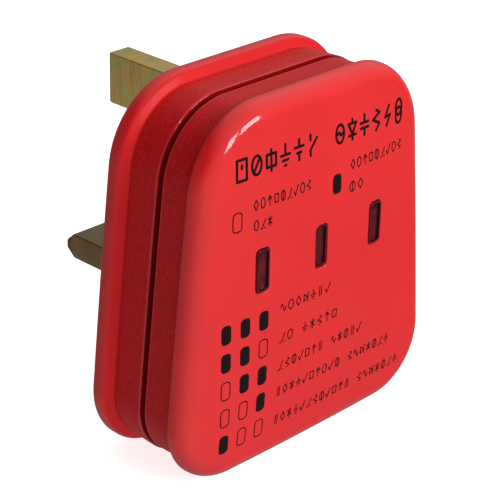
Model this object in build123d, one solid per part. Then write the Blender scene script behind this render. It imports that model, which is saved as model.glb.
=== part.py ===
"""13 A socket tester: a two-shell moulded case, three brass pins and the circuit board inside it.

Millimetres, +X to the right when the label faces the reader, +Y into the wall, +Z up.  The mating
face of the case lies in the plane Y = 0, and the origin is the centre of the pin pattern.  "Depth"
is the distance from the mating face towards the label, so depth d lies at Y = -d.
"""
from build123d import *
from math import hypot, sqrt
import os

# Pin pattern and pins of the 13 A three-pin system
PIN_PITCH = 22.225            # line to neutral, and earth to the line/neutral row
EARTH_SIZE = (4.0, 8.0)       # section, X by Z
LINE_SIZE = (6.35, 4.0)
EARTH_LENGTH = 22.73
LINE_LENGTH = 18.1
EARTH_TIP = ((0.9, 0.6), 0.9)  # cut back on the X and Z sides at the tip, and over this length
LINE_TIP = ((0.0, 1.3), 1.5)
PIN_SLOT_GAP = 0.1            # all round, between a pin and its slot in the case

# Pin roots inside the case
HEAD_MARGIN = 1.1             # the head stands out this far round the shank
HEAD_DEPTH = 1.6
BLOCK_MARGIN = 0.6            # the block on the head is this much smaller than the shank
TAB_THICK = 1.6
TAB_WIDE = 4.0
TAB_PROUD = 1.4               # the tab stands this far through the board

# Case outline, at the widest line of the front flange
TOP_Z = 20.8
BOTTOM_Z = -34.4
TOP_HALF_WIDTH = 21.1
BOTTOM_HALF_WIDTH = 26.7
TOP_CORNER = 12.5
BOTTOM_CORNER = 10.25
SIDE_BULGE = 0.25
BOTTOM_BULGE = 0.5
FOOT_TRIM = 0.03              # the lowest line is flattened by this much, so the case stands steady

# Case side profile: insets from that outline, and depths
CASE_DEPTH = 20.2
BACK_FLANGE_INSET = -0.12
BACK_FLANGE_DEPTH = 3.5
BACK_EDGE_ROUND = 1.2
FLANGE_ROUND = 1.3
WAIST_BOTTOM_INSET = 1.3
WAIST_RIM_INSET = 1.0
PARTING_DEPTH = 9.8
GROOVE_HALF = 0.45            # half the width of the groove round the parting line
GROOVE_INSET = 2.6
FRONT_WAIST_INSET = 1.2
FRONT_FLANGE_START = 15.9
FRONT_FLANGE_ROUND = 0.3
FACE_ROUND = 2.6
DOME_RADIUS = 500.0

# Case walls
FLOOR = 2.2                   # thickness of the wall behind the mating face
BACK_CAVITY_INSET = 3.4
FRONT_CAVITY_INSET = 3.2
RIM_DEPTH = 11.5              # the front shell's rim is thicker down to here
TONGUE_GAP = 0.1
TONGUE_THICK = 0.8
TONGUE_DEPTH = 8.4
ROOF_DEPTH = 18.0             # inner face of the wall behind the label
OVERLAP = 1.0                 # blocks that are joined or trimmed run past each other by this much

# Windows and lenses
WINDOW_PITCH = 11.6
WINDOW_Z = -3.0
WINDOW_SIZE = (2.5, 6.6)
WINDOW_CORNER = 0.7
LENS_GAP = 0.05
LENS_SINK = 0.2               # the lens's lip lies this far under the label face
LENS_LIP = 0.3                # width of the lip
LENS_RECESS = 0.6             # the lens's face lies this far under its lip
LENS_FLANGE = (4.6, 8.6)
LENS_FLANGE_THICK = 0.8

# Circuit board
BOARD_BACK = 7.4
BOARD_FRONT = 9.0
BOARD_TOP = 15.6
BOARD_SHOULDER_Z = 5.0
BOARD_WAIST_Z = -18.5
BOARD_BOTTOM = -27.5
BOARD_NECK_HALF = 8.0
BOARD_HALF = 16.5
BOARD_TAIL_HALF = 11.7
BOARD_CORNER = 0.8
TAB_SLOT_GAP = 0.15

# Lamps and their shroud
LAMP_DEPTH = 13.4             # depth of the lamp's axis
LAMP_RADIUS = 2.1
LAMP_WALL = 0.35
LAMP_LOW_Z = -7.6
LAMP_HIGH_Z = 1.9
LAMP_PINCH = 1.6              # length of the solid glass end that holds the leads
LEAD_RADIUS = 0.25
LEAD_HOLE_GAP = 0.02
LEAD_SPACING = 1.5
LEAD_BEND = 0.8
LAMP_LEAD_Z = 3.0
ELECTRODE_RADIUS = 0.4
ELECTRODE_LENGTH = 5.0
SHROUD_WALL = 0.8
SHROUD_HALF = 15.3
SHROUD_LOW_Z = -9.0
SHROUD_HIGH_Z = 4.6
SHROUD_DEPTH = 17.1
CELL_HALF = 2.9

# Resistors
RESISTOR_PITCH = 5.2
RESISTOR_Z = -18.85
RESISTOR_LENGTH = 6.3
RESISTOR_RADIUS = 1.2
RESISTOR_WAIST = 0.95
RESISTOR_CAP = 1.5
RESISTOR_CAP_ROUND = 0.3
RESISTOR_SPAN = 11.3          # between its two lead holes
RESISTOR_CLEAR = 0.3
RESISTOR_LEAD_RADIUS = 0.3
LEAD_TAIL = 1.0               # leads stand this far through the board
LEAD_HOLE_RADIUS = 0.4

# Solder
SOLDER_HEIGHT = 0.8
SOLDER_FOOT = 0.7
SOLDER_TOP = 0.45
TAB_SOLDER_FOOT = 1.0
TAB_SOLDER_TOP = 0.25

# Case screws, in columns at the four corners
UPPER_SCREW = (12.8, 10.4)
LOWER_SCREW = (16.5, -25.0)
COLUMN_RADIUS = 4.0
BOSS_RADIUS = 3.1
HEAD_RECESS_RADIUS = 2.9
HEAD_RECESS_DEPTH = 4.6
SCREW_HOLE_RADIUS = 1.65
PILOT_RADIUS = 1.5
SCREW_RADIUS = 1.45
SCREW_HEAD_RADIUS = 2.6
SCREW_HEAD_THICK = 1.9
SCREW_LENGTH = 9.5
PILOT_SPARE = 0.5             # the pilot hole is this much deeper than the screw
HEAD_CROWN = 0.33             # round on a screw head's rim, as a share of its thickness
TIP_TAPER = 0.5               # chamfer on a screw's tip, as a share of its radius
CROSS_WIDTH = 0.7
CROSS_SPAN = 2.9
CROSS_DEPTH = 1.1

# Board screws and their standoffs, and the posts that hold the board down
BOARD_SCREW = (9.2, -24.6)
STANDOFF_RADIUS = 2.3
BOARD_PILOT_RADIUS = 0.9
BOARD_SCREW_RADIUS = 0.85
BOARD_SCREW_HEAD_RADIUS = 1.9
BOARD_SCREW_HEAD_THICK = 1.2
BOARD_SCREW_LENGTH = 4.5
BOARD_SCREW_HOLE = 1.05
POST_RADIUS = 1.2
POSTS = ((14.6, -16.4), (6.2, 13.2))

EARTH_PLACE = (0.0, PIN_PITCH / 2)
LIVE_PLACE = (PIN_PITCH / 2, -PIN_PITCH / 2)
NEUTRAL_PLACE = (-PIN_PITCH / 2, -PIN_PITCH / 2)
COLUMNS = (-1, 0, 1)          # left, middle and right window, lamp and resistor
COLUMN_NAMES = {-1: "left", 0: "middle", 1: "right"}
MID_Z = (TOP_Z + BOTTOM_Z) / 2
SLOPE = (BOTTOM_HALF_WIDTH - TOP_HALF_WIDTH) / (TOP_Z - BOTTOM_Z)


def mirrored(place):
    """A place and its mirror image in the plane X = 0."""
    x, z = place
    return ((x, z), (-x, z))


CASE_SCREWS = mirrored(UPPER_SCREW) + mirrored(LOWER_SCREW)
BOARD_SCREWS = mirrored(BOARD_SCREW)


def slab(sketch, near, far):
    """A sketch drawn in X and Z, made solid between two depths."""
    return extrude(Plane.XZ.offset(near) * sketch, amount=far - near)


def rod(place, radius, near, far):
    return slab(Pos(*place) * Circle(radius), near, far)


def block(place, size, near, far):
    return slab(Pos(*place) * Rectangle(*size), near, far)


def grown(size, margin):
    return (size[0] + 2 * margin, size[1] + 2 * margin)


def half_width(z):
    return BOTTOM_HALF_WIDTH - SLOPE * (z - BOTTOM_Z)


def bulged_edge(start, end, bulge):
    """An arc from start to end that stands out to the right of its chord."""
    run = (end[0] - start[0], end[1] - start[1])
    length = hypot(*run)
    middle = ((start[0] + end[0]) / 2 + run[1] / length * bulge,
              (start[1] + end[1]) / 2 - run[0] / length * bulge)
    return ThreePointArc(start, middle, end)


def outline(inset):
    """The case outline, moved inwards by inset: a tall rounded shape, wider at the bottom."""
    top = TOP_Z - inset
    bottom = BOTTOM_Z + inset
    shift = inset * sqrt(1 + SLOPE * SLOPE)
    top_half = half_width(top) - shift
    bottom_half = half_width(bottom) - shift
    edges = [
        bulged_edge((bottom_half, bottom), (top_half, top), SIDE_BULGE),
        Line((top_half, top), (-top_half, top)),
        bulged_edge((-top_half, top), (-bottom_half, bottom), SIDE_BULGE),
        bulged_edge((-bottom_half, bottom), (bottom_half, bottom), BOTTOM_BULGE),
    ]
    face = make_face(edges)
    face = fillet(face.vertices().group_by(Axis.Y)[-1], TOP_CORNER - inset)
    return fillet(face.vertices().group_by(Axis.Y)[0], BOTTOM_CORNER - inset)


def ring(outer_inset, inner_inset, near, far):
    return slab(outline(outer_inset) - outline(inner_inset), near, far)


def between(one, one_depth, other, other_depth):
    """A solid that changes evenly from a sketch at one depth to another sketch at another depth."""
    return loft([Plane.XZ.offset(one_depth) * one, Plane.XZ.offset(other_depth) * other], ruled=True)


def below_foot():
    """Everything under the level that the case stands on."""
    foot_z = BOTTOM_Z - BOTTOM_BULGE + FOOT_TRIM
    return block((0, foot_z - OVERLAP / 2), (2 * BOTTOM_HALF_WIDTH, OVERLAP), 0, CASE_DEPTH)


def back_shell():
    flange = slab(outline(BACK_FLANGE_INSET), 0, BACK_FLANGE_DEPTH)
    rims = flange.edges().group_by(Axis.Y)
    flange = fillet(rims[-1], BACK_EDGE_ROUND)
    flange = fillet(flange.edges().group_by(Axis.Y)[0], FLANGE_ROUND)
    waist = between(outline(WAIST_BOTTOM_INSET), FLOOR, outline(WAIST_RIM_INSET), PARTING_DEPTH - GROOVE_HALF)
    shell = flange + waist + slab(outline(GROOVE_INSET), FLOOR, PARTING_DEPTH)
    shell -= slab(outline(BACK_CAVITY_INSET), FLOOR, PARTING_DEPTH)
    for place in CASE_SCREWS:
        shell += rod(place, COLUMN_RADIUS, FLOOR, PARTING_DEPTH)
        shell -= rod(place, HEAD_RECESS_RADIUS, 0, HEAD_RECESS_DEPTH)
        shell -= rod(place, SCREW_HOLE_RADIUS, 0, PARTING_DEPTH)
    for place in BOARD_SCREWS:
        shell += rod(place, STANDOFF_RADIUS, FLOOR, BOARD_BACK)
        shell -= rod(place, BOARD_PILOT_RADIUS, FLOOR, BOARD_BACK)
    for place, size in ((EARTH_PLACE, EARTH_SIZE), (LIVE_PLACE, LINE_SIZE), (NEUTRAL_PLACE, LINE_SIZE)):
        shell -= block(place, grown(size, PIN_SLOT_GAP), 0, FLOOR)
    return shell - below_foot()


def front_block():
    """The front shell's outside as one solid: a waist, a flange and a gently domed label face."""
    dome = Pos(0, DOME_RADIUS - CASE_DEPTH, MID_Z) * Sphere(DOME_RADIUS)
    flange = slab(outline(0), FRONT_FLANGE_START, CASE_DEPTH + OVERLAP) & dome
    flange = fillet(flange.edges().group_by(Axis.Y)[-1], FRONT_FLANGE_ROUND)
    face = flange.faces().sort_by(Axis.Y)[0]
    flange = fillet(face.edges(), FACE_ROUND)
    waist = slab(outline(FRONT_WAIST_INSET), PARTING_DEPTH + GROOVE_HALF, FRONT_FLANGE_START + OVERLAP)
    return flange + waist + slab(outline(GROOVE_INSET), PARTING_DEPTH, RIM_DEPTH)


def window(index, size, corner, near, far):
    return slab(Pos(index * WINDOW_PITCH, WINDOW_Z) * RectangleRounded(*size, corner), near, far)


def front_shell():
    shell = front_block() - slab(outline(FRONT_CAVITY_INSET), RIM_DEPTH, ROOF_DEPTH)
    tongue_inset = BACK_CAVITY_INSET + TONGUE_GAP
    shell -= slab(outline(tongue_inset + TONGUE_THICK), PARTING_DEPTH, RIM_DEPTH)
    shell += ring(tongue_inset, tongue_inset + TONGUE_THICK, TONGUE_DEPTH, PARTING_DEPTH)
    pilot_end = HEAD_RECESS_DEPTH + SCREW_LENGTH + PILOT_SPARE
    for place in CASE_SCREWS:
        shell += rod(place, BOSS_RADIUS, PARTING_DEPTH, ROOF_DEPTH)
        shell -= rod(place, PILOT_RADIUS, PARTING_DEPTH, pilot_end)
    for place in POSTS:
        for spot in mirrored(place):
            shell += rod(spot, POST_RADIUS, BOARD_FRONT, ROOF_DEPTH)
    for index in COLUMNS:
        shell -= window(index, WINDOW_SIZE, WINDOW_CORNER, ROOF_DEPTH, CASE_DEPTH)
    return shell - below_foot()


def pin(place, size, length, tip, tab_size):
    """A pin from its narrowed tip to the tab that is soldered into the board."""
    cuts, tip_length = tip
    tip_size = (size[0] - 2 * cuts[0], size[1] - 2 * cuts[1])
    shank_end = tip_length - length
    shank = block(place, size, shank_end, FLOOR)
    shank += between(Pos(*place) * Rectangle(*size), shank_end, Pos(*place) * Rectangle(*tip_size), -length)
    head = block(place, grown(size, HEAD_MARGIN), FLOOR, FLOOR + HEAD_DEPTH)
    root = block(place, grown(size, -BLOCK_MARGIN), FLOOR + HEAD_DEPTH, BOARD_BACK)
    tab = block(place, tab_size, BOARD_BACK, BOARD_FRONT + TAB_PROUD)
    return shank + head + root + tab


def lens(index):
    """A window's lens: a plug with a thin lip round its face, held behind the case wall by a flange."""
    flange = window(index, LENS_FLANGE, WINDOW_CORNER, ROOF_DEPTH - LENS_FLANGE_THICK, ROOF_DEPTH)
    size = grown(WINDOW_SIZE, -LENS_GAP)
    lip_depth = CASE_DEPTH - LENS_SINK
    plug = window(index, size, WINDOW_CORNER - LENS_GAP, ROOF_DEPTH, lip_depth)
    recess_size = grown(WINDOW_SIZE, -LENS_LIP)
    plug -= window(index, recess_size, WINDOW_CORNER - LENS_LIP, lip_depth - LENS_RECESS, lip_depth)
    return flange + plug


def lamp_shroud():
    """Three open cells that keep the light of each lamp behind its own window."""
    middle_z = (SHROUD_LOW_Z + SHROUD_HIGH_Z) / 2
    height = SHROUD_HIGH_Z - SHROUD_LOW_Z
    shroud = block((0, middle_z), (2 * SHROUD_HALF, height), BOARD_FRONT, SHROUD_DEPTH)
    cell = (2 * CELL_HALF, height - 2 * SHROUD_WALL)
    for index in COLUMNS:
        shroud -= block((index * WINDOW_PITCH, middle_z), cell, BOARD_FRONT, SHROUD_DEPTH)
    return shroud


def lamp_glass(index):
    """A thin bulb with a round lower end, closed at the top by the pinch that holds its leads."""
    centre_z = LAMP_LOW_Z + LAMP_RADIUS
    inner = LAMP_RADIUS - LAMP_WALL
    height = LAMP_HIGH_Z - centre_z
    glass = Pos(0, 0, centre_z + height / 2) * Cylinder(LAMP_RADIUS, height)
    glass += Pos(0, 0, centre_z) * Sphere(LAMP_RADIUS)
    hollow_height = height - LAMP_PINCH
    hollow = Pos(0, 0, centre_z + hollow_height / 2) * Cylinder(inner, hollow_height)
    glass -= hollow + Pos(0, 0, centre_z) * Sphere(inner)
    for side in (-1, 1):
        hole = Cylinder(LEAD_RADIUS + LEAD_HOLE_GAP, LAMP_PINCH)
        glass -= Pos(side * LEAD_SPACING / 2, 0, LAMP_HIGH_Z - LAMP_PINCH / 2) * hole
    return Pos(index * WINDOW_PITCH, -LAMP_DEPTH, 0) * glass


def bent_wire(points, radius, bend):
    path = FilletPolyline(*points, radius=bend)
    return sweep((path ^ 0) * Circle(radius), path=path)


def lamp_leads(index):
    """Two leads, each with its thicker electrode inside the bulb, bent down through the board."""
    leads = []
    pinch_z = LAMP_HIGH_Z - LAMP_PINCH
    for side in (-1, 1):
        x = index * WINDOW_PITCH + side * LEAD_SPACING / 2
        points = [
            (x, -LAMP_DEPTH, pinch_z),
            (x, -LAMP_DEPTH, LAMP_LEAD_Z),
            (x, LEAD_TAIL - BOARD_BACK, LAMP_LEAD_Z),
        ]
        electrode = Cylinder(ELECTRODE_RADIUS, ELECTRODE_LENGTH)
        electrode = Pos(x, -LAMP_DEPTH, pinch_z - ELECTRODE_LENGTH / 2) * electrode
        leads.append(bent_wire(points, LEAD_RADIUS, LEAD_BEND) + electrode)
    return leads


def resistor_depth():
    return BOARD_FRONT + RESISTOR_CLEAR + RESISTOR_RADIUS


def resistor_body(index):
    """A lacquered ceramic rod with a cap at each end that is a little thicker than its middle."""
    half = RESISTOR_LENGTH / 2
    body = Cylinder(RESISTOR_WAIST, RESISTOR_LENGTH)
    for end in (-1, 1):
        cap = Pos(0, 0, end * (half - RESISTOR_CAP / 2)) * Cylinder(RESISTOR_RADIUS, RESISTOR_CAP)
        body += fillet(cap.edges().filter_by(GeomType.CIRCLE), RESISTOR_CAP_ROUND)
    return Pos(index * RESISTOR_PITCH, -resistor_depth(), RESISTOR_Z) * body


def resistor_leads(index):
    leads = []
    x = index * RESISTOR_PITCH
    depth = resistor_depth()
    for end in (-1, 1):
        start_z = RESISTOR_Z + end * RESISTOR_LENGTH / 2
        hole_z = RESISTOR_Z + end * RESISTOR_SPAN / 2
        points = [(x, -depth, start_z), (x, -depth, hole_z), (x, LEAD_TAIL - BOARD_BACK, hole_z)]
        leads.append(bent_wire(points, RESISTOR_LEAD_RADIUS, LEAD_BEND))
    return leads


def lead_holes():
    """Where the wires of the lamps and resistors go through the board, with each wire's radius."""
    holes = []
    for index in COLUMNS:
        for sign in (-1, 1):
            lamp_hole = (index * WINDOW_PITCH + sign * LEAD_SPACING / 2, LAMP_LEAD_Z)
            resistor_hole = (index * RESISTOR_PITCH, RESISTOR_Z + sign * RESISTOR_SPAN / 2)
            holes.append((lamp_hole, LEAD_RADIUS))
            holes.append((resistor_hole, RESISTOR_LEAD_RADIUS))
    return holes


def tabs():
    """Place and section of each pin's tab."""
    return (
        (EARTH_PLACE, (TAB_THICK, TAB_WIDE)),
        (LIVE_PLACE, (TAB_WIDE, TAB_THICK)),
        (NEUTRAL_PLACE, (TAB_WIDE, TAB_THICK)),
    )


def circuit_board():
    corners = [
        (BOARD_NECK_HALF, BOARD_TOP),
        (BOARD_NECK_HALF, BOARD_SHOULDER_Z),
        (BOARD_HALF, BOARD_SHOULDER_Z),
        (BOARD_HALF, BOARD_WAIST_Z),
        (BOARD_TAIL_HALF, BOARD_WAIST_Z),
        (BOARD_TAIL_HALF, BOARD_BOTTOM),
    ]
    corners += [(-x, z) for x, z in reversed(corners)]
    plate = make_face(Polyline(*corners, close=True))
    board = slab(fillet(plate.vertices(), BOARD_CORNER), BOARD_BACK, BOARD_FRONT)
    for place, size in tabs():
        board -= block(place, grown(size, TAB_SLOT_GAP), BOARD_BACK, BOARD_FRONT)
    for place, radius in lead_holes():
        board -= rod(place, LEAD_HOLE_RADIUS, BOARD_BACK, BOARD_FRONT)
    for place in BOARD_SCREWS:
        board -= rod(place, BOARD_SCREW_HOLE, BOARD_BACK, BOARD_FRONT)
    return board


def solder_joints():
    """A fillet of solder round each pin tab, on the label side, and round each wire, on the pin side."""
    joints = []
    for place, size in tabs():
        foot = Pos(*place) * Rectangle(*grown(size, TAB_SOLDER_FOOT))
        top = Pos(*place) * Rectangle(*grown(size, TAB_SOLDER_TOP))
        hill = between(foot, BOARD_FRONT, top, BOARD_FRONT + SOLDER_HEIGHT)
        joints.append(hill - block(place, size, BOARD_FRONT, BOARD_FRONT + SOLDER_HEIGHT))
    for place, radius in lead_holes():
        foot = Pos(*place) * Circle(SOLDER_FOOT)
        top = Pos(*place) * Circle(SOLDER_TOP)
        hill = between(foot, BOARD_BACK, top, BOARD_BACK - SOLDER_HEIGHT)
        joints.append(hill - rod(place, radius, BOARD_BACK - SOLDER_HEIGHT, BOARD_BACK))
    return joints


def screw(place, head_radius, head_thick, shank_radius, length, head_face, direction):
    """A pan-head screw: head_face is the depth of the head's outer face, direction its way in."""
    under = head_face + direction * head_thick
    near, far = sorted((head_face, under))
    head = rod(place, head_radius, near, far)
    rims = head.edges().sort_by(Axis.Y)
    head = fillet(rims[-1] if direction > 0 else rims[0], head_thick * HEAD_CROWN)
    near, far = sorted((under, under + direction * length))
    shank = rod(place, shank_radius, near, far)
    tips = shank.edges().filter_by(GeomType.CIRCLE).sort_by(Axis.Y)
    shank = chamfer(tips[0] if direction > 0 else tips[-1], shank_radius * TIP_TAPER)
    body = head + shank
    near, far = sorted((head_face, head_face + direction * CROSS_DEPTH * head_thick / SCREW_HEAD_THICK))
    scale = head_radius / SCREW_HEAD_RADIUS
    for size in ((CROSS_SPAN * scale, CROSS_WIDTH * scale), (CROSS_WIDTH * scale, CROSS_SPAN * scale)):
        body -= block(place, size, near, far)
    return body


def case_screws():
    face = HEAD_RECESS_DEPTH - SCREW_HEAD_THICK
    return [screw(place, SCREW_HEAD_RADIUS, SCREW_HEAD_THICK, SCREW_RADIUS, SCREW_LENGTH, face, 1)
            for place in CASE_SCREWS]


def board_screws():
    face = BOARD_FRONT + BOARD_SCREW_HEAD_THICK
    return [screw(place, BOARD_SCREW_HEAD_RADIUS, BOARD_SCREW_HEAD_THICK, BOARD_SCREW_RADIUS,
                  BOARD_SCREW_LENGTH, face, -1) for place in BOARD_SCREWS]


def build():
    nodes = {
        "back_shell": [back_shell()],
        "front_shell": [front_shell()],
        "earth_pin": [pin(EARTH_PLACE, EARTH_SIZE, EARTH_LENGTH, EARTH_TIP, tabs()[0][1])],
        "live_pin": [pin(LIVE_PLACE, LINE_SIZE, LINE_LENGTH, LINE_TIP, tabs()[1][1])],
        "neutral_pin": [pin(NEUTRAL_PLACE, LINE_SIZE, LINE_LENGTH, LINE_TIP, tabs()[2][1])],
        "lamp_shroud": [lamp_shroud()],
        "circuit_board": [circuit_board()],
        "solder_joints": solder_joints(),
        "case_screws": case_screws(),
        "board_screws": board_screws(),
    }
    for index, side in COLUMN_NAMES.items():
        nodes["window_lens_" + side] = [lens(index)]
        nodes["lamp_glass_" + side] = [lamp_glass(index)]
        nodes["lamp_leads_" + side] = lamp_leads(index)
        nodes["resistor_body_" + side] = [resistor_body(index)]
        nodes["resistor_leads_" + side] = resistor_leads(index)
    return nodes


os.makedirs("parts", exist_ok=True)
for name, pieces in build().items():
    solids = [solid for piece in pieces for solid in piece.solids()]
    shape = solids[0] if len(solids) == 1 else Compound(children=solids)
    export_step(shape, f"parts/{name}.step")
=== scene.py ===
"""Looks of the outlet tester plug: its case, pins, windows, print and screws, with light and camera.

Lengths are in millimetres until a piece is finished.  As in the CAD model, +X is to the right when
the label faces the reader, +Y goes into the wall and +Z is up.  "Depth" is the distance from the
mating face towards the label, and "inset" the distance inwards from the widest outline of the case.
"""
from math import atan2, cos, hypot, pi, radians, sin, sqrt, tan

import bmesh
import bpy
import numpy as np
from mathutils import Matrix, Vector
from mathutils.geometry import delaunay_2d_cdt


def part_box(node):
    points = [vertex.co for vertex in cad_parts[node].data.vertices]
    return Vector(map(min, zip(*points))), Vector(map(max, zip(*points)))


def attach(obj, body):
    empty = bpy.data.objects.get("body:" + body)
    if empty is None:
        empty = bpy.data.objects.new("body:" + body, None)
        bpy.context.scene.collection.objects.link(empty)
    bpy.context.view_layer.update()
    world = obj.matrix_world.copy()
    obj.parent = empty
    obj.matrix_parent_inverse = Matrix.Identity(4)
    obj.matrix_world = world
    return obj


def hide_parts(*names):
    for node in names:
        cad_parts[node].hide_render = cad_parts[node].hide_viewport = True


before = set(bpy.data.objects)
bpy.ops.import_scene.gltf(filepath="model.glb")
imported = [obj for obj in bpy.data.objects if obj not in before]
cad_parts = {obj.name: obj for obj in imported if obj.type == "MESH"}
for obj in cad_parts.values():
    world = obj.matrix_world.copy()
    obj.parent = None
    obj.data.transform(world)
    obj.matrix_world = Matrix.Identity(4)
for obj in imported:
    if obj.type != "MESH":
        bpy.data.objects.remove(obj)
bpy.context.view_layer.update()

MM = 0.001
BODY = "root"


def node_box(name):
    """Lowest and highest corner of a CAD node in millimetres."""
    low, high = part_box(name)
    return low / MM, high / MM


FRONT_LOW, FRONT_HIGH = node_box("front_shell")
BACK_LOW, BACK_HIGH = node_box("back_shell")
BOARD_LOW, BOARD_HIGH = node_box("circuit_board")
SCREWS_LOW, SCREWS_HIGH = node_box("case_screws")
LENS_LOW, LENS_HIGH = node_box("window_lens_middle")

# Outline: four slightly bulged sides between rounded corners
TOP_Z = FRONT_HIGH.z
SIDE_BULGE = 0.25
BOTTOM_BULGE = 0.5
TOP_BULGE = 0.02
FOOT_Z = FRONT_LOW.z          # the lowest line of the case is flattened to this level
FOOT_TRIM = 0.03              # how much of the bottom bulge that takes off
BOTTOM_Z = FOOT_Z - FOOT_TRIM + BOTTOM_BULGE
TOP_HALF_WIDTH = 21.1
BOTTOM_HALF_WIDTH = 26.7
TOP_CORNER = 12.5
BOTTOM_CORNER = 10.25
CORNER_STEPS = 24
SIDE_STEPS = 22
TOP_STEPS = 14

# Depths and insets of the two shells
CASE_DEPTH = -FRONT_LOW.y
FACE_TOP = CASE_DEPTH - 0.006  # leaves room for the ink near the middle of the face
PARTING_DEPTH = -BACK_LOW.y
TONGUE_DEPTH = -FRONT_HIGH.y
BACK_FLANGE_INSET = TOP_Z - BACK_HIGH.z
FLOOR_DEPTH = 2.2
ROOF_DEPTH = -LENS_HIGH.y + 0.8
BACK_FLANGE_DEPTH = 2.7
BACK_WAIST_START = (1.3, 3.5)  # inset and depth, as for the end
BACK_WAIST_END = (1.0, 9.2)
GROOVE_INSET = 2.6
GROOVE_START = 9.25
GROOVE_END = 9.95
WAIST_INSET = 1.2             # of the front shell's waist, and its depths
WAIST_START = 10.0
WAIST_END = 15.35
FRONT_FLANGE_DEPTH = 15.85
WIDEST_DEPTH = 16.2           # depth of the front flange's widest line
FACE_ROUND = (3.3, 2.95)      # inwards and in depth, from the widest line to the label face
FACE_ROUND_END = 78           # degrees of that round, after which the face begins
FACE_ROUND_STEP = 3
FACE_INSET = FACE_ROUND[0] * (1 - cos(radians(FACE_ROUND_END)))
FACE_RIM_DEPTH = WIDEST_DEPTH + FACE_ROUND[1] * sin(radians(FACE_ROUND_END))
PILLOW = FACE_TOP - FACE_RIM_DEPTH
FACE_CENTRE = (0.0, (TOP_Z + BOTTOM_Z) / 2)
BACK_CAVITY_INSET = 3.4
FRONT_CAVITY_INSET = 3.2
RIM_DEPTH = 11.5
TONGUE_GAP = 0.1
TONGUE_THICK = 0.8
MATING_RIM_INSET = 1.1

# Columns, bosses and posts inside the shells, and the recesses behind the screws
SCREW_HEAD_RADIUS = 2.6
SCREW_HEAD_HEIGHT = 1.9
SCREW_SHANK_RADIUS = 1.45
SCREW_SHANK_LENGTH = 8.8
SCREW_POINT = (0.6, 9.5)      # radius at the very end, and its distance from under the head
SCREW_CROWN = (1.75, 0.1)     # radius of the flat on the head, and its rise over the head's edge
CROSS_TOP = (2.9, 0.72)       # span and width of the cross recess, at its mouth and at its bottom
CROSS_BOTTOM = (1.5, 0.5)
CROSS_DEPTH = 1.0
UPPER_SCREW = (12.8, SCREWS_HIGH.z - SCREW_HEAD_RADIUS)
LOWER_SCREW = (SCREWS_HIGH.x - SCREW_HEAD_RADIUS, SCREWS_LOW.z + SCREW_HEAD_RADIUS)
CASE_SCREWS = [(side * x, z) for x, z in (UPPER_SCREW, LOWER_SCREW) for side in (-1, 1)]
BOARD_SCREW = (9.2, -24.6)
BOARD_SCREWS = [(side * BOARD_SCREW[0], BOARD_SCREW[1]) for side in (-1, 1)]
LOWER_POST = (14.6, -16.4)
UPPER_POST = (6.2, 13.2)
POSTS = [(side * x, z) for x, z in (LOWER_POST, UPPER_POST) for side in (-1, 1)]
COLUMN_RADIUS = 4.0
BOSS_RADIUS = 3.1
PILOT_RADIUS = 1.5
PILOT_DEPTH = 14.6
HOLE_RADIUS = 1.65
RECESS_RADIUS = 2.9
RECESS_DEPTH = 4.6
STANDOFF_RADIUS = 2.3
STANDOFF_BORE = 0.9
POST_RADIUS = 1.2
BOARD_BACK = -BOARD_HIGH.y
BOARD_FRONT = -BOARD_LOW.y

# Pins
PIN_NODES = ("earth_pin", "live_pin", "neutral_pin")
PIN_HEAD_MARGIN = 1.1
PIN_HEAD_DEPTH = 1.6
PIN_ROOT_MARGIN = 0.6
PIN_SLOT_GAP = 0.1
PIN_SLOT_MOUTH = 0.35         # how much wider the slot is at the mating face
PIN_SLOT_ROUND = 0.2
PIN_EDGE = 0.28
PIN_TAB = (1.6, 4.0)          # thickness and width of the tab that goes through the board
PIN_TAB_EDGE = 0.1
EARTH_TIP = ((0.9, 0.6), 0.9)  # cut back on the X and Z sides at the tip, and over this length
LINE_TIP = ((0.0, 1.3), 1.5)

# Windows
WINDOW_CENTRES = [(node_box("window_lens_" + side)[0] + node_box("window_lens_" + side)[1]) / 2
                  for side in ("left", "middle", "right")]
LENS_FLANGE = (LENS_HIGH.x - LENS_LOW.x, LENS_HIGH.z - LENS_LOW.z)
WINDOW_SIZE = (2.5, 6.6)
WINDOW_CORNER = 0.7
WINDOW_EDGE = 0.22
WINDOW_FLARE = 0.5            # how far the round of a window's edge starts outside it
WINDOW_EDGE_DEPTH = 0.6
LENS_GAP = 0.05
LENS_LIP = 0.3
LENS_RECESS = 0.6             # the lens face lies this far under its lip
LENS_CORNER = 0.6
LENS_EDGE = 0.06              # bevels of the plug's outer edge and of the lip's inner edge
LENS_LIP_EDGE = 0.05
LENS_COVE = (0.1, 0.08)       # bevel where the sunk face meets the lip

# Print on the label face
INK_PROUD = 0.015
INK_SUNK = 0.02
FINE_LINE = 0.18
TITLE_LINE = 0.42
MARK_SIZE = (1.75, 2.95)
MARK_CORNER = 0.65


# Outline of the case

def bulged_side(start, end, bulge):
    """Centre and radius of the arc from start to end that stands out by bulge, right of its chord."""
    start, end = Vector(start), Vector(end)
    chord = end - start
    half = chord.length / 2
    outward = Vector((chord.y, -chord.x)).normalized()
    radius = (half * half + bulge * bulge) / (2 * bulge)
    return (start + end) / 2 - outward * (radius - bulge), radius


def corner_centre(one, other, corner, radius):
    """Centre of the round of that radius that touches both sides from inside, near their corner."""
    (first, first_radius), (second, second_radius) = one, other
    near, far = first_radius - radius, second_radius - radius
    between = second - first
    gap = between.length
    along = (near * near - far * far + gap * gap) / (2 * gap)
    across = sqrt(near * near - along * along)
    direction = between / gap
    normal = Vector((-direction.y, direction.x))
    spots = [first + direction * along + normal * side * across for side in (-1, 1)]
    return min(spots, key=lambda spot: (spot - Vector(corner)).length)


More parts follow.
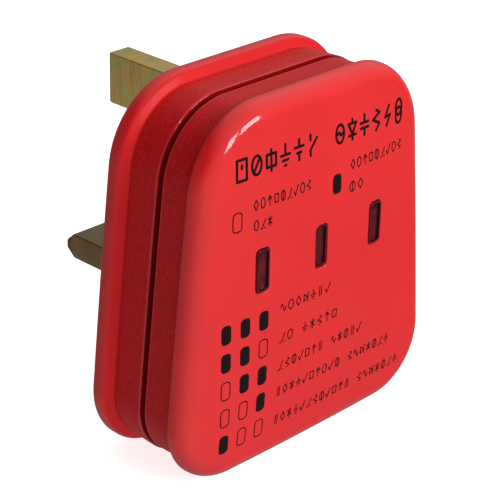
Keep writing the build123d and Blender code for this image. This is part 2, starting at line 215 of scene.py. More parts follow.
def outline_arcs():
    """The outline's arcs (centre, radius, first angle, last angle, steps), anticlockwise from the
    lower right corner."""
    corners = [(BOTTOM_HALF_WIDTH, BOTTOM_Z), (TOP_HALF_WIDTH, TOP_Z - TOP_BULGE),
               (-TOP_HALF_WIDTH, TOP_Z - TOP_BULGE), (-BOTTOM_HALF_WIDTH, BOTTOM_Z)]
    bulges = (SIDE_BULGE, TOP_BULGE, SIDE_BULGE, BOTTOM_BULGE)
    radii = (BOTTOM_CORNER, TOP_CORNER, TOP_CORNER, BOTTOM_CORNER)
    steps = (SIDE_STEPS, TOP_STEPS, SIDE_STEPS, SIDE_STEPS)
    sides = [bulged_side(corners[k], corners[(k + 1) % 4], bulges[k]) for k in range(4)]
    centres = [corner_centre(sides[k - 1], sides[k], corners[k], radii[k]) for k in range(4)]
    arcs = []
    for k in range(4):
        before, side, after = sides[k - 1], sides[k], sides[(k + 1) % 4]
        start, end = centres[k], centres[(k + 1) % 4]
        entry = heading(start - before[0])
        turn = heading(start - side[0])
        leave = heading(end - side[0])
        arcs.append((start, radii[k], entry, unwound(turn, entry), CORNER_STEPS))
        arcs.append((side[0], side[1], turn, unwound(leave, turn), steps[k]))
    return arcs


def heading(vector):
    return atan2(vector.y, vector.x)


def unwound(angle, start):
    """The angle, a turn further where that is needed to come after start."""
    return angle + 2 * pi if angle < start - pi else angle


ARCS = outline_arcs()


def outline(inset, finer=1):
    """Points (x, z) of the case outline, moved inwards by inset and flattened at the foot."""
    points = []
    for centre, radius, first, last, steps in ARCS:
        count = steps * finer
        for k in range(count):
            angle = first + (last - first) * k / count
            x, z = centre.x + (radius - inset) * cos(angle), centre.y + (radius - inset) * sin(angle)
            points.append((x, max(z, FOOT_Z)))
    return points


def rim_distances():
    """Angles and distances of the label face's rim, seen from the middle of the face."""
    polar = []
    for x, z in outline(FACE_INSET, finer=8):
        dx, dz = x - FACE_CENTRE[0], z - FACE_CENTRE[1]
        polar.append((atan2(dz, dx), hypot(dx, dz)))
    polar.sort()
    angles, distances = zip(*polar)
    return np.array(angles), np.array(distances)


RIM_ANGLES, RIM_DISTANCES = rim_distances()


def face_depth(x, z):
    """Depth of the label face, which is highest in the middle and falls off towards its rim."""
    dx, dz = x - FACE_CENTRE[0], z - FACE_CENTRE[1]
    rim = np.interp(atan2(dz, dx), RIM_ANGLES, RIM_DISTANCES, period=2 * pi)
    share = hypot(dx, dz) / rim
    return FACE_TOP - PILLOW * share * share


# Plane curves

def rounded_path(corners, steps=6):
    """A path through corners (u, v, radius), where each corner is an arc of its radius."""
    path = [corners[0][:2]]
    for k in range(1, len(corners) - 1):
        corner = Vector(corners[k][:2])
        back = (Vector(corners[k - 1][:2]) - corner).normalized()
        ahead = (Vector(corners[k + 1][:2]) - corner).normalized()
        turn = pi - back.angle(ahead)
        reach = corners[k][2] * tan(turn / 2)
        weight = cos(turn / 2)
        start, end = corner + back * reach, corner + ahead * reach
        for step in range(steps + 1):
            s = step / steps
            blend = ((1 - s) * (1 - s), 2 * weight * s * (1 - s), s * s)
            spot = (start * blend[0] + corner * blend[1] + end * blend[2]) / sum(blend)
            path.append(tuple(spot))
    path.append(corners[-1][:2])
    return path


def circle(place, radius, count):
    return [(place[0] + radius * cos(2 * pi * k / count), place[1] + radius * sin(2 * pi * k / count))
            for k in range(count)]


def rounded_rectangle(place, size, radius, steps=6, side_steps=1):
    """Anticlockwise points of a rectangle with round corners; each side is cut in side_steps."""
    points = []
    corners = ((1, -1, -90), (1, 1, 0), (-1, 1, 90), (-1, -1, 180))
    for k, (sx, sz, first) in enumerate(corners):
        centre = (place[0] + sx * (size[0] / 2 - radius), place[1] + sz * (size[1] / 2 - radius))
        for step in range(steps + 1):
            angle = radians(first + 90 * step / steps)
            points.append((centre[0] + radius * cos(angle), centre[1] + radius * sin(angle)))
        nx, nz, following = corners[(k + 1) % 4]
        ahead = (place[0] + nx * (size[0] / 2 - radius), place[1] + nz * (size[1] / 2 - radius))
        ahead = (ahead[0] + radius * cos(radians(following)), ahead[1] + radius * sin(radians(following)))
        last = points[-1]
        for step in range(1, side_steps):
            s = step / side_steps
            points.append((last[0] + (ahead[0] - last[0]) * s, last[1] + (ahead[1] - last[1]) * s))
    return points


def inside(points, polygon):
    """Which of the points, as rows x and z, lie inside the polygon."""
    result = np.zeros(len(points), bool)
    x, z = points[:, 0], points[:, 1]
    for (x1, z1), (x2, z2) in zip(polygon, np.roll(polygon, -1, axis=0)):
        crossing = (z1 > z) != (z2 > z)
        if z1 != z2:
            result ^= crossing & (x < (x2 - x1) * (z - z1) / (z2 - z1) + x1)
    return result


# Meshes

class Skin:
    """A closed surface made from loops of points (x, depth, z), with bands between and sheets across."""

    def __init__(self):
        self.points = []
        self.faces = []

    def loop(self, flat, depth):
        """A loop from points (x, z) at one depth, or at the depth that a function gives."""
        first = len(self.points)
        for x, z in flat:
            self.points.append((x, depth(x, z) if callable(depth) else depth, z))
        return list(range(first, len(self.points)))

    def band(self, loops):
        for one, other in zip(loops, loops[1:]):
            for k in range(len(one)):
                following = (k + 1) % len(one)
                self.faces.append((one[k], one[following], other[following], other[k]))

    def lid(self, loop):
        self.faces.append(tuple(loop))

    def flat(self, loop):
        return np.array([(self.points[k][0], self.points[k][2]) for k in loop])

    def sheet(self, edge, holes, depth, spacing=None):
        """Triangles between an edge loop and the loops of its holes, over a lattice of inner points."""
        loops = [edge] + holes
        polygons = [self.flat(loop) for loop in loops]
        border = np.concatenate(polygons)
        ids = [k for loop in loops for k in loop]
        edges = []
        for loop in loops:
            first = len(edges)
            edges += [(first + k, first + (k + 1) % len(loop)) for k in range(len(loop))]
        inner = self.lattice(polygons, border, spacing) if spacing else []
        ids += self.loop(inner, depth)
        coords = [Vector(p) for p in border] + [Vector(p) for p in inner]
        found, _, triangles, origins, _, _ = delaunay_2d_cdt(coords, edges, [], 0, 1e-6)
        middles = np.array([np.mean([found[k] for k in t], axis=0) for t in triangles])
        kept = inside(middles, polygons[0])
        for polygon in polygons[1:]:
            kept &= ~inside(middles, polygon)
        for keep, triangle in zip(kept, triangles):
            if keep:
                self.faces.append(tuple(ids[origins[k][0]] for k in triangle))

    @staticmethod
    def lattice(polygons, border, spacing):
        """Lattice points inside the first polygon and outside the others, clear of the border."""
        low, high = border.min(0), border.max(0)
        rows = np.arange(low[1], high[1], spacing * sqrt(3) / 2)
        spots = [(x + spacing / 2 * (k % 2), z) for k, z in enumerate(rows)
                 for x in np.arange(low[0], high[0], spacing)]
        spots = np.array(spots)
        kept = inside(spots, polygons[0])
        for polygon in polygons[1:]:
            kept &= ~inside(spots, polygon)
        spots = spots[kept]
        gaps = np.sqrt(((spots[:, None, :] - border[None, :, :]) ** 2).sum(2)).min(1)
        return [tuple(p) for p in spots[gaps > 0.6 * spacing]]

    def turned(self, place, profile, count=32):
        """Loops round an axis along Y at a place (x, z), for a profile of (radius, depth)."""
        loops = [self.loop(circle(place, radius, count), depth) for radius, depth in profile]
        self.band(loops)
        return loops[0], loops[-1]

    def finish(self, name, surface, nodes=(), sharp=40.0):
        mesh = bpy.data.meshes.new(name)
        mesh.from_pydata([(x * MM, -depth * MM, z * MM) for x, depth, z in self.points], [], self.faces)
        work = bmesh.new()
        work.from_mesh(mesh)
        bmesh.ops.recalc_face_normals(work, faces=work.faces)
        work.to_mesh(mesh)
        work.free()
        mesh.shade_smooth()
        mesh.set_sharp_from_angle(angle=radians(sharp))
        piece = bpy.data.objects.new(name, mesh)
        bpy.context.scene.collection.objects.link(piece)
        piece.data.materials.append(surface)
        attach(piece, BODY)
        if nodes:
            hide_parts(*nodes)
        return piece


# Materials

CASE_GLOSS = ((0.74, 0.013, 0.017, 1), (0.80, 0.017, 0.020, 1))
CASE_MATT = ((0.53, 0.007, 0.009, 1), (0.74, 0.012, 0.015, 1))
# Painted shade: the recess of the parting line is coloured dark, as if in its own shadow
GROOVE_PAINTED_SHADE = (0.30, 0.003, 0.003, 1)
# Zones of the case along Y, in millimetres: where each starts, is full, is last full and ends
BACK_GRIP = (-9.05, -8.75, -3.9, -3.6)
FRONT_GRIP = (-15.8, -15.4, -10.45, -10.15)
# Where shade is painted into the recess of the parting line
GROOVE_SHADE_ZONE = (-10.11, -10.01, -9.17, -9.09)
FLANGE_SLOPE = (-3.8, -3.6, -2.9, -2.3)
GOLD_BRASS = ((0.66, 0.58, 0.20, 1), (0.86, 0.53, 0.15, 1))
# Painted shade: a darker, browner copy of the brass for the lower pins, which lie in the case's shadow
LOWER_BRASS_PAINTED_SHADE = ((0.22, 0.155, 0.07, 1), (0.31, 0.175, 0.085, 1))
STREAK_BRASS = (0.30, 0.26, 0.12, 1)
DARKER_EDGE = (0.10, 0.07, 0.03, 1)
# Lens colour: dark red plastic with the shade of the lamp cell behind it painted in
LENS_WITH_CELL_SHADE = ((0.045, 0.002, 0.006, 1), (0.13, 0.004, 0.012, 1))
INK_COLOURS = ((0.006, 0.002, 0.002, 1), (0.014, 0.003, 0.004, 1))


class Surface:
    """A Principled material with a few helpers for its procedural nodes."""

    def __init__(self, name, **values):
        self.material = bpy.data.materials.new(name)
        self.material.use_nodes = True
        self.tree = self.material.node_tree
        self.shader = self.tree.nodes["Principled BSDF"]
        for key, value in values.items():
            self.shader.inputs[key.replace("_", " ")].default_value = value
        self.place = self.tree.nodes.new("ShaderNodeTexCoord").outputs["Object"]

    def node(self, kind, settings=(), **inputs):
        node = self.tree.nodes.new(kind)
        for key, value in dict(settings).items():
            setattr(node, key, value)
        for key, value in inputs.items():
            self.feed(node.inputs[key.replace("_", " ")], value)
        return node

    def feed(self, socket, value):
        if isinstance(value, bpy.types.NodeSocket):
            self.tree.links.new(value, socket)
        else:
            socket.default_value = value

    def stretched(self, scale):
        return self.node("ShaderNodeMapping", Vector=self.place, Scale=scale).outputs["Vector"]

    def noise(self, scale, detail=3.0, roughness=0.5, vector=None):
        source = vector or self.place
        return self.node("ShaderNodeTexNoise", Vector=source, Scale=scale, Detail=detail,
                         Roughness=roughness).outputs["Fac"]

    def ranged(self, value, low, high, to_low=0.0, to_high=1.0):
        node = self.node("ShaderNodeMapRange", {"clamp": True}, Value=value)
        limits = {"From Min": low, "From Max": high, "To Min": to_low, "To Max": to_high}
        for key, number in limits.items():
            self.feed(node.inputs[key], number)
        return node.outputs["Result"]

    def zone(self, value, limits):
        """One between the two middle limits, falling to nought at the outer ones, all in millimetres."""
        start, full, last, end = (limit * MM for limit in limits)
        rise = self.ranged(value, start, full)
        fall = self.ranged(value, last, end, 1.0, 0.0)
        return self.combined("MULTIPLY", rise, fall)

    def combined(self, operation, one, other):
        node = self.node("ShaderNodeMath", {"operation": operation})
        self.feed(node.inputs[0], one)
        self.feed(node.inputs[1], other)
        return node.outputs[0]

    def mixed(self, share, one, other):
        node = self.node("ShaderNodeMix", {"data_type": "RGBA"})
        self.feed(node.inputs[0], share)
        self.feed(node.inputs[6], one)
        self.feed(node.inputs[7], other)
        return node.outputs[2]

    def bump(self, height, distance, below=None):
        node = self.node("ShaderNodeBump", Strength=1.0, Distance=distance, Height=height)
        if below is not None:
            self.feed(node.inputs["Normal"], below)
        return node.outputs["Normal"]

    def set(self, **values):
        for key, value in values.items():
            self.feed(self.shader.inputs[key.replace("_", " ")], value)
        return self.material


def case_material():
    """Glossy moulded red, with a darker matt grain on the waist where fingers grip it, a dull slope
    between the waist and the back flange, and shade painted dark into the recess of the parting line."""
    surface = Surface("case_red", IOR=1.5)
    depth = surface.node("ShaderNodeSeparateXYZ", Vector=surface.place).outputs["Y"]
    back_grip = surface.zone(depth, BACK_GRIP)
    front_grip = surface.zone(depth, FRONT_GRIP)
    groove_shade = surface.zone(depth, GROOVE_SHADE_ZONE)
    grip = surface.combined("ADD", back_grip, front_grip)
    clouds = surface.noise(70, 4.0)
    gloss_red = surface.mixed(surface.ranged(clouds, 0.3, 0.7), *CASE_GLOSS)
    grains = surface.noise(2600, 3.0, 0.6)
    matt_red = surface.mixed(surface.ranged(grains, 0.38, 0.62), *CASE_MATT)
    polish = surface.ranged(surface.noise(240, 5.0), 0.3, 0.7, 0.07, 0.12)
    matt = surface.combined("MAXIMUM", grip, surface.zone(depth, FLANGE_SLOPE))
    colour = surface.mixed(grip, gloss_red, matt_red)
    # Paints shade into the recess of the parting line
    colour = surface.mixed(groove_shade, colour, GROOVE_PAINTED_SHADE)
    roughness = surface.combined("ADD", polish, surface.combined("MULTIPLY", matt, 0.24))
    normal = surface.bump(surface.noise(420, 1.0), 3e-6)
    normal = surface.bump(surface.combined("MULTIPLY", grains, grip), 3e-5, normal)
    shine = surface.ranged(matt, 0.0, 1.0, 0.5, 0.12)
    return surface.set(Base_Color=colour, Roughness=roughness, Specular_IOR_Level=shine, Normal=normal)


def brass_material():
    """Drawn brass, dulled in patches, with painted shade making the lower pins darker and browner, and
    darker along its edges and steps.
    """
    surface = Surface("pin_brass", Metallic=1.0)
    tarnish = surface.noise(260, 5.0, 0.6)
    streaks = surface.noise(900, 3.0, 0.6, surface.stretched((0.25, 1.6, 0.18)))
    height = surface.node("ShaderNodeSeparateXYZ", Vector=surface.place).outputs["Z"]
    # Painted shade by height: the lower pins get the darker copy of the brass
    upper = surface.ranged(height, -8 * MM, 4 * MM)
    gold = surface.mixed(surface.ranged(tarnish, 0.42, 0.58), *GOLD_BRASS)
    shaded_brass = surface.mixed(surface.ranged(tarnish, 0.42, 0.58), *LOWER_BRASS_PAINTED_SHADE)
    colour = surface.mixed(upper, shaded_brass, gold)
    colour = surface.mixed(surface.ranged(streaks, 0.5, 0.75, 0.0, 0.5), colour, STREAK_BRASS)
    # Darker where the bevelled normal parts from the facet normal, along edges and steps
    rounded = surface.node("ShaderNodeBevel", {"samples": 6}, Radius=0.35 * MM).outputs["Normal"]
    flat = surface.node("ShaderNodeNewGeometry").outputs["Normal"]
    alike = surface.node("ShaderNodeVectorMath", {"operation": "DOT_PRODUCT"})
    surface.feed(alike.inputs[0], rounded)
    surface.feed(alike.inputs[1], flat)
    colour = surface.mixed(surface.ranged(alike.outputs["Value"], 0.86, 0.99), DARKER_EDGE, colour)
    roughness = surface.ranged(surface.combined("ADD", tarnish, streaks), 0.7, 1.3, 0.26, 0.44)
    normal = surface.bump(streaks, 8e-6)
    return surface.set(Base_Color=colour, Roughness=roughness, Normal=normal)


def lens_material():
    """Dark red clear plastic, drawn opaque, with the shade of the dark lamp cell behind it painted into
    its colour, and a faint moulding swirl.
    """
    surface = Surface("lens_red", IOR=1.49, Specular_IOR_Level=0.2)
    swirl = surface.noise(500, 2.0)
    colour = surface.mixed(surface.ranged(swirl, 0.3, 0.7), *LENS_WITH_CELL_SHADE)
    roughness = surface.ranged(swirl, 0.3, 0.7, 0.15, 0.3)
    return surface.set(Base_Color=colour, Roughness=roughness)


def ink_material():
    """Black pad-printed ink with slightly uneven cover."""
    surface = Surface("label_ink", IOR=1.45, Specular_IOR_Level=0.12)
    cover = surface.noise(1500, 3.0)
    colour = surface.mixed(surface.ranged(cover, 0.35, 0.65), *INK_COLOURS)
    roughness = surface.ranged(cover, 0.3, 0.7, 0.3, 0.45)
    return surface.set(Base_Color=colour, Roughness=roughness)


def metal_material(name, light, dark, rough_low, rough_high, scale):
    surface = Surface(name, Metallic=1.0)
    spots = surface.noise(scale, 4.0, 0.6)
    colour = surface.mixed(surface.ranged(spots, 0.35, 0.65), dark, light)
    roughness = surface.ranged(spots, 0.3, 0.7, rough_low, rough_high)
    normal = surface.bump(spots, 6e-6)
    return surface.set(Base_Color=colour, Roughness=roughness, Normal=normal)


def plain_material(name, light, dark, rough_low, rough_high, scale, **values):
    surface = Surface(name, **values)
    spots = surface.noise(scale, 4.0, 0.6)
    colour = surface.mixed(surface.ranged(spots, 0.35, 0.65), dark, light)
    roughness = surface.ranged(spots, 0.3, 0.7, rough_low, rough_high)
    return surface.set(Base_Color=colour, Roughness=roughness)


CASE_RED = case_material()
BRASS = brass_material()
LENS_RED = lens_material()
INK = ink_material()
# Each with its name, light and dark colour, range of roughness and scale of its spots
STEEL = metal_material("screw_steel", (0.66, 0.65, 0.62, 1), (0.48, 0.48, 0.47, 1), 0.22, 0.4, 700)
SOLDER = metal_material("solder", (0.78, 0.78, 0.79, 1), (0.6, 0.6, 0.62, 1), 0.18, 0.4, 900)
LEAD_WIRE = metal_material("lead_wire", (0.74, 0.73, 0.71, 1), (0.58, 0.57, 0.55, 1), 0.25, 0.4, 1200)
SHROUD = plain_material("shroud_black", (0.035, 0.035, 0.036, 1), (0.018, 0.018, 0.019, 1), 0.5, 0.7,
                        1500)
LAMINATE = plain_material("board_laminate", (0.52, 0.36, 0.16, 1), (0.40, 0.25, 0.10, 1), 0.4, 0.6,
                          600)
LACQUER = plain_material("resistor_lacquer", (0.72, 0.60, 0.40, 1), (0.62, 0.50, 0.32, 1), 0.2, 0.35,
                         900)
GLASS = plain_material("lamp_glass", (0.96, 0.95, 0.93, 1), (0.90, 0.88, 0.85, 1), 0.02, 0.08, 500,
                       Transmission_Weight=0.95, IOR=1.5)

CARRIED_OVER = {
    "lamp_shroud": SHROUD, "circuit_board": LAMINATE, "solder_joints": SOLDER, "board_screws": STEEL,
    "lamp_glass": GLASS, "lamp_leads": LEAD_WIRE, "resistor_body": LACQUER, "resistor_leads": LEAD_WIRE,
}


def finish_carried_nodes():
    """The pieces inside the case keep their CAD shapes and get a material each."""
    for name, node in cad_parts.items():
        surface = CARRIED_OVER.get(name) or CARRIED_OVER.get(name.rsplit("_", 1)[0])
        if surface:
            node.data.materials.clear()
            node.data.materials.append(surface)


# Case

def profile_loops(skin, profile):
    loops = [skin.loop(outline(inset), depth) for inset, depth in profile]
    skin.band(loops)
    return loops


def pin_section(name):
    """Place (x, z) and section of a pin's shank, from the CAD node, whose head is the widest part."""
    low, high = node_box(name)
    place = ((low.x + high.x) / 2, (low.z + high.z) / 2)
    size = (high.x - low.x - 2 * PIN_HEAD_MARGIN, high.z - low.z - 2 * PIN_HEAD_MARGIN)
    return place, size


def grown(size, margin):
    return (size[0] + 2 * margin, size[1] + 2 * margin)


def make_back_shell():
    skin = Skin()
    outside = rounded_path([
        (MATING_RIM_INSET, 0.0, 0.0),
        (BACK_FLANGE_INSET, 0.0, 1.2),
        (BACK_FLANGE_INSET, BACK_FLANGE_DEPTH, 1.0),
        (*BACK_WAIST_START, 0.3),
        (*BACK_WAIST_END, 0.18),
        (GROOVE_INSET, GROOVE_START, 0.08),
        (GROOVE_INSET, PARTING_DEPTH, 0.0),
    ], steps=8)
    inner = rounded_path([
        (BACK_CAVITY_INSET, PARTING_DEPTH, 0.0),
        (BACK_CAVITY_INSET, FLOOR_DEPTH, 0.4),
        (BACK_CAVITY_INSET + 1.0, FLOOR_DEPTH, 0.0),
    ])
    loops = profile_loops(skin, outside + inner)
    mating_holes, floor_holes = [], []
    for place in CASE_SCREWS:
        profile = rounded_path([
            (RECESS_RADIUS + 0.4, 0.0, 0.0),
            (RECESS_RADIUS, 0.0, 0.25),
            (RECESS_RADIUS, RECESS_DEPTH, 0.2),
            (HOLE_RADIUS, RECESS_DEPTH, 0.1),
            (HOLE_RADIUS, PARTING_DEPTH, 0.1),
            (COLUMN_RADIUS, PARTING_DEPTH, 0.15),
            (COLUMN_RADIUS, FLOOR_DEPTH, 0.0),
        ], steps=4)
        first, last = skin.turned(place, profile, 48)
        mating_holes.append(first)
        floor_holes.append(last)
    for place in BOARD_SCREWS:
        profile = [(STANDOFF_RADIUS, FLOOR_DEPTH), (STANDOFF_RADIUS, BOARD_BACK),
                   (STANDOFF_BORE, BOARD_BACK), (STANDOFF_BORE, FLOOR_DEPTH)]
        first, last = skin.turned(place, profile)
        floor_holes.append(first)
        skin.lid(last)
    for name in PIN_NODES:
        place, size = pin_section(name)
        size = grown(size, PIN_SLOT_GAP)
        walls = []
        slot = [(PIN_SLOT_MOUTH, 0.0, 0.0), (0.0, 0.0, PIN_SLOT_ROUND), (0.0, FLOOR_DEPTH, 0.0)]
        for margin, depth in rounded_path(slot, 4):
            ring = rounded_rectangle(place, grown(size, margin), PIN_EDGE + margin)
            walls.append(skin.loop(ring, depth))
        skin.band(walls)
        mating_holes.append(walls[0])
        floor_holes.append(walls[-1])
    skin.sheet(loops[0], mating_holes, 0.0, 1.6)
    skin.sheet(loops[-1], floor_holes, FLOOR_DEPTH, 2.4)
    skin.finish("case_back_shell", CASE_RED, ["back_shell"])


def front_rim():
    """Profile of the front flange's outer round, from its widest line to the rim of the label face."""
    inwards, deep = FACE_ROUND
    angles = [radians(a) for a in range(0, FACE_ROUND_END + 1, FACE_ROUND_STEP)]
    return [(inwards * (1 - cos(a)), WIDEST_DEPTH + deep * sin(a)) for a in angles]


def make_front_shell():
    skin = Skin()
    inner_inset = BACK_CAVITY_INSET + TONGUE_GAP
    inside_path = rounded_path([
        (FRONT_CAVITY_INSET + 1.0, ROOF_DEPTH, 0.0),
        (FRONT_CAVITY_INSET, ROOF_DEPTH, 0.3),
        (FRONT_CAVITY_INSET, RIM_DEPTH, 0.1),
        (inner_inset + TONGUE_THICK, RIM_DEPTH, 0.1),
        (inner_inset + TONGUE_THICK, TONGUE_DEPTH, 0.15),
        (inner_inset, TONGUE_DEPTH, 0.15),
        (inner_inset, PARTING_DEPTH, 0.0),
    ], steps=3)
    outside = rounded_path([
        (GROOVE_INSET, PARTING_DEPTH, 0.0),
        (GROOVE_INSET, GROOVE_END, 0.08),
        (WAIST_INSET, WAIST_START, 0.2),
        (WAIST_INSET, WAIST_END, 0.7),
        (0.0, FRONT_FLANGE_DEPTH, 0.3),
        (0.0, WIDEST_DEPTH, 0.0),
    ], steps=8)
    loops = profile_loops(skin, inside_path + outside[:-1] + front_rim())
    face_holes, roof_holes = [], []
    for centre in WINDOW_CENTRES:
        place = (centre.x, centre.z)
        walls = []
        edge = [(WINDOW_FLARE, 0.0, 0.0), (0.0, 0.0, WINDOW_EDGE), (0.0, WINDOW_EDGE_DEPTH, 0.0)]
        for margin, fall in rounded_path(edge, 5):
            ring = rounded_rectangle(place, grown(WINDOW_SIZE, margin), WINDOW_CORNER + margin, 6, 5)
            walls.append(skin.loop(ring, lambda x, z: face_depth(x, z) - fall))
        walls.append(skin.loop(rounded_rectangle(place, WINDOW_SIZE, WINDOW_CORNER, 6, 5), ROOF_DEPTH))
        skin.band(walls)
        face_holes.append(walls[0])
        roof_holes.append(walls[-1])
    for place in CASE_SCREWS:
        profile = [(BOSS_RADIUS, ROOF_DEPTH), (BOSS_RADIUS, PARTING_DEPTH), (PILOT_RADIUS, PARTING_DEPTH),
                   (PILOT_RADIUS, PILOT_DEPTH)]
        first, last = skin.turned(place, profile)
        roof_holes.append(first)
        skin.lid(last)
    for place in POSTS:
        first, last = skin.turned(place, [(POST_RADIUS, ROOF_DEPTH), (POST_RADIUS, BOARD_FRONT)])
        roof_holes.append(first)
        skin.lid(last)
    skin.sheet(loops[-1], face_holes, face_depth, 1.0)
    skin.sheet(loops[0], roof_holes, ROOF_DEPTH, 2.4)
    skin.finish("case_front_shell", CASE_RED, ["front_shell"])


# Pins, lenses and screws

def make_pin(name):
    place, size = pin_section(name)
    low, high = node_box(name)
    tip = -high.y
    tall = size[1] > size[0]
    (cut_x, cut_z), tip_length = EARTH_TIP if tall else LINE_TIP
    head_end = FLOOR_DEPTH + PIN_HEAD_DEPTH
    skin = Skin()
    # Each row: margin round the shank's section, share of the cut at the tip, depth
    rows = [(-0.2, 1.0, tip), (-0.06, 1.0, tip + 0.04), (0.0, 0.93, tip + 0.14),
            (0.0, 0.1, tip + tip_length - 0.12), (0.0, 0.02, tip + tip_length + 0.05),
            (0.0, 0.0, tip + tip_length + 0.25), (0.0, 0.0, tip / 2), (0.0, 0.0, FLOOR_DEPTH),
            (PIN_HEAD_MARGIN, 0.0, FLOOR_DEPTH), (PIN_HEAD_MARGIN, 0.0, head_end),
            (-PIN_ROOT_MARGIN, 0.0, head_end), (-PIN_ROOT_MARGIN, 0.0, BOARD_BACK)]
    loops = []
    for margin, share, depth in rows:
        section = (size[0] + 2 * (margin - share * cut_x), size[1] + 2 * (margin - share * cut_z))
        loops.append(skin.loop(rounded_rectangle(place, section, PIN_EDGE), depth))
    tab = PIN_TAB if tall else PIN_TAB[::-1]
    for depth in (BOARD_BACK, -low.y):
        loops.append(skin.loop(rounded_rectangle(place, tab, PIN_TAB_EDGE), depth))
    skin.band(loops)
    skin.lid(loops[0])
    skin.lid(loops[-1])
    skin.finish(name + "_brass", BRASS, [name], sharp=50)


def make_lens(side, centre):
    """A dark red plug with a thin lip round its sunk face, and a flange behind the case wall."""
    place = (centre.x, centre.z)
    lip_depth = -LENS_LOW.y
    sunk_depth = lip_depth - LENS_RECESS
    rows = [
        (LENS_FLANGE, -LENS_HIGH.y),
        (LENS_FLANGE, ROOF_DEPTH),
        (grown(WINDOW_SIZE, -LENS_GAP), ROOF_DEPTH),
        (grown(WINDOW_SIZE, -LENS_GAP), lip_depth - LENS_EDGE),
        (grown(WINDOW_SIZE, -LENS_GAP - LENS_EDGE), lip_depth),
        (grown(WINDOW_SIZE, -LENS_LIP + LENS_LIP_EDGE), lip_depth),
        (grown(WINDOW_SIZE, -LENS_LIP), lip_depth - LENS_LIP_EDGE),
        (grown(WINDOW_SIZE, -LENS_LIP), sunk_depth + LENS_COVE[1]),
        (grown(WINDOW_SIZE, -LENS_LIP - LENS_COVE[0]), sunk_depth),
    ]
    skin = Skin()
    loops = [skin.loop(rounded_rectangle(place, size, LENS_CORNER, 6, 3), depth) for size, depth in rows]
    skin.band(loops)
    skin.lid(loops[0])
    skin.lid(loops[-1])
    skin.finish("lens_" + side, LENS_RED, ["window_lens_" + side])


def cross_outline(place, span, width):
    """Anticlockwise outline of a cross-shaped screwdriver recess."""
    arm, half = span / 2, width / 2
    corners = [(arm, half), (half, half), (half, arm)]
    points = []
    for turn in range(4):
        for x, z in corners:
            c, s = (1, 0, -1, 0)[turn], (0, 1, 0, -1)[turn]
            points.append((place[0] + c * x - s * z, place[1] + s * x + c * z))
    return points


def make_screws():
    """Four pan-head screws with cross recesses, in the recesses of the back shell."""
    face = -SCREWS_HIGH.y
    under_head = face + SCREW_HEAD_HEIGHT
    skin = Skin()
    for place in CASE_SCREWS:
        profile = rounded_path([
            (SCREW_CROWN[0], face, 0.0),
            (SCREW_HEAD_RADIUS, face + SCREW_CROWN[1], 0.7),
            (SCREW_HEAD_RADIUS, under_head, 0.15),
            (SCREW_SHANK_RADIUS, under_head, 0.15),
            (SCREW_SHANK_RADIUS, under_head + SCREW_SHANK_LENGTH, 0.1),
            (SCREW_POINT[0], under_head + SCREW_POINT[1], 0.0),
        ], steps=5)
        first, last = skin.turned(place, profile, 40)
        skin.lid(last)
        top = skin.loop(cross_outline(place, *CROSS_TOP), face)
        bottom = skin.loop(cross_outline(place, *CROSS_BOTTOM), face + CROSS_DEPTH)
        skin.band([top, bottom])
        skin.lid(bottom)
        skin.sheet(first, [top], face)
    skin.finish("case_screw_set", STEEL, ["case_screws"])


# Print: each symbol is a list of strokes in a cell that is one unit wide and high

def ring_stroke(x, z, radius, squash=1.0, count=20):
    return [(x + radius * cos(2 * pi * k / count), z + radius * squash * sin(2 * pi * k / count))
            for k in range(count + 1)]


def wave_stroke(x, z, width, height, count=12):
    return [(x + width * k / count, z + height * sin(2 * pi * k / count)) for k in range(count + 1)]


EARTH_SIGN = [[(0.5, 1.0), (0.5, 0.5)], [(0.0, 0.5), (1.0, 0.5)], [(0.2, 0.25), (0.8, 0.25)],
              [(0.42, 0.0), (0.58, 0.0)]]
SYMBOLS = {
    "wave": [wave_stroke(0.0, 0.5, 1.0, 0.4)],
    "ring": [ring_stroke(0.5, 0.5, 0.46, 1.08)],
    "half": [ring_stroke(0.5, 0.5, 0.46, 1.08), [(0.5, 1.0), (0.5, 0.0)]],
    "earth": EARTH_SIGN,
    "star": [[(0.5, 0.0), (0.5, 1.0)], [(0.05, 0.2), (0.95, 0.8)], [(0.05, 0.8), (0.95, 0.2)]],
    "tick": [[(0.0, 0.45), (0.3, 0.0), (1.0, 1.0)]],
    "plates": [[(0.3, 0.0), (0.3, 1.0)], [(0.7, 0.0), (0.7, 1.0)]],
    "fuse": [[(0.1, 0.1), (0.9, 0.1), (0.9, 0.9), (0.1, 0.9), (0.1, 0.1)]],
    "open": [[(0.0, 0.0), (0.3, 0.0), (0.95, 0.9)], [(0.8, 0.0), (1.0, 0.0)]],
    "gem": [[(0.5, 0.0), (0.95, 0.5), (0.5, 1.0), (0.05, 0.5), (0.5, 0.0)]],
    "up": [[(0.5, 0.0), (0.5, 1.0)], [(0.1, 0.6), (0.5, 1.0), (0.9, 0.6)]],
    "zigzag": [[(0.5, 1.0), (0.9, 0.8), (0.1, 0.5), (0.9, 0.2), (0.5, 0.0)]],
    "diode": [[(0.1, 0.1), (0.1, 0.9), (0.85, 0.5), (0.1, 0.1)], [(0.9, 0.0), (0.9, 1.0)]],
}
